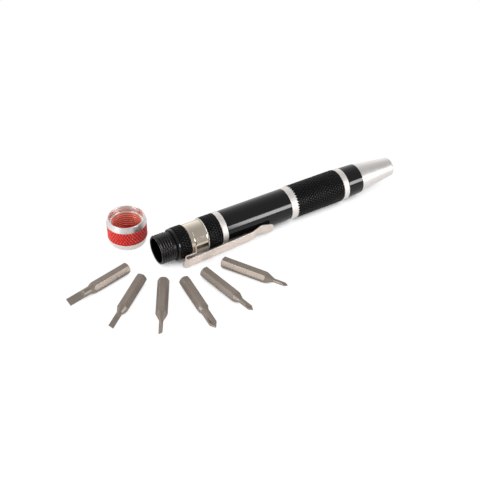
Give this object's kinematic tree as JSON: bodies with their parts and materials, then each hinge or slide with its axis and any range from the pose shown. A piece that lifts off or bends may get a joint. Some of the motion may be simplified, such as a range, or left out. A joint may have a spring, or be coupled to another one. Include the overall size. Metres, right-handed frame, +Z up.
{
  "type": "pocket screwdriver",
  "caption": "Pen-shaped pocket screwdriver with a knurled grip, a spring clip and a screw cap, laid out with the slotted and cross bits that store inside it.",
  "frame": {"origin": "On the table, at the middle of everything that is laid out: the bottom centre of the bounding box.", "axes": "+Z is up, +X runs along the handle's axis from the open mouth to the nose, and +Y points to the side where the cap stands."},
  "size_m": [0.1474, 0.07, 0.0135],
  "materials": {
    "core_black": "black anodised thread",
    "knurl_black": "black anodised knurl",
    "gloss_black": "gloss black anodised",
    "bright_aluminium": "bright turned",
    "nose_aluminium": "satin turned",
    "magnet": "nickel plated",
    "clip_steel": "nickel-plated spring steel",
    "cap_red": "red anodised knurl with bright turned rims",
    "bit_steel": "satin tool steel"
  },
  "bodies": {
    "handle": {"core_tube": "core_black", "rear_collar": "knurl_black", "clip_collar": "knurl_black", "rear_ring": "bright_aluminium", "barrel_sleeve": "gloss_black", "middle_ring": "bright_aluminium", "grip_sleeve": "knurl_black", "front_ring": "bright_aluminium", "front_collar": "gloss_black", "nose_cone": "nose_aluminium", "bit_magnet": "magnet"},
    "clip": {"pocket_clip": "clip_steel"},
    "cap": {"end_cap": "cap_red"},
    "slotted_bit_large": {"slotted_bit_large": "bit_steel"},
    "slotted_bit_medium": {"slotted_bit_medium": "bit_steel"},
    "slotted_bit_small": {"slotted_bit_small": "bit_steel"},
    "cross_bit_large": {"cross_bit_large": "bit_steel"},
    "cross_bit_medium": {"cross_bit_medium": "bit_steel"},
    "cross_bit_small": {"cross_bit_small": "bit_steel"}
  },
  "joints": [
    {"name": "clip_swivel", "type": "hinge", "parent": "handle", "child": "clip", "pos_m": [-0.01923, 0.00784, 0.00673], "axis": [1, 0, 0], "continuous": true},
    {"name": "cap_lift", "type": "slide", "parent": "handle", "child": "cap", "axis": [0, 0, 1], "range_m": [0, 0.05]},
    {"name": "slotted_large_lift", "type": "slide", "parent": "handle", "child": "slotted_bit_large", "axis": [0, 0, 1], "range_m": [0, 0.05]},
    {"name": "slotted_medium_lift", "type": "slide", "parent": "handle", "child": "slotted_bit_medium", "axis": [0, 0, 1], "range_m": [0, 0.05]},
    {"name": "slotted_small_lift", "type": "slide", "parent": "handle", "child": "slotted_bit_small", "axis": [0, 0, 1], "range_m": [0, 0.05]},
    {"name": "cross_large_lift", "type": "slide", "parent": "handle", "child": "cross_bit_large", "axis": [0, 0, 1], "range_m": [0, 0.05]},
    {"name": "cross_medium_lift", "type": "slide", "parent": "handle", "child": "cross_bit_medium", "axis": [0, 0, 1], "range_m": [0, 0.05]},
    {"name": "cross_small_lift", "type": "slide", "parent": "handle", "child": "cross_bit_small", "axis": [0, 0, 1], "range_m": [0, 0.05]}
  ]
}
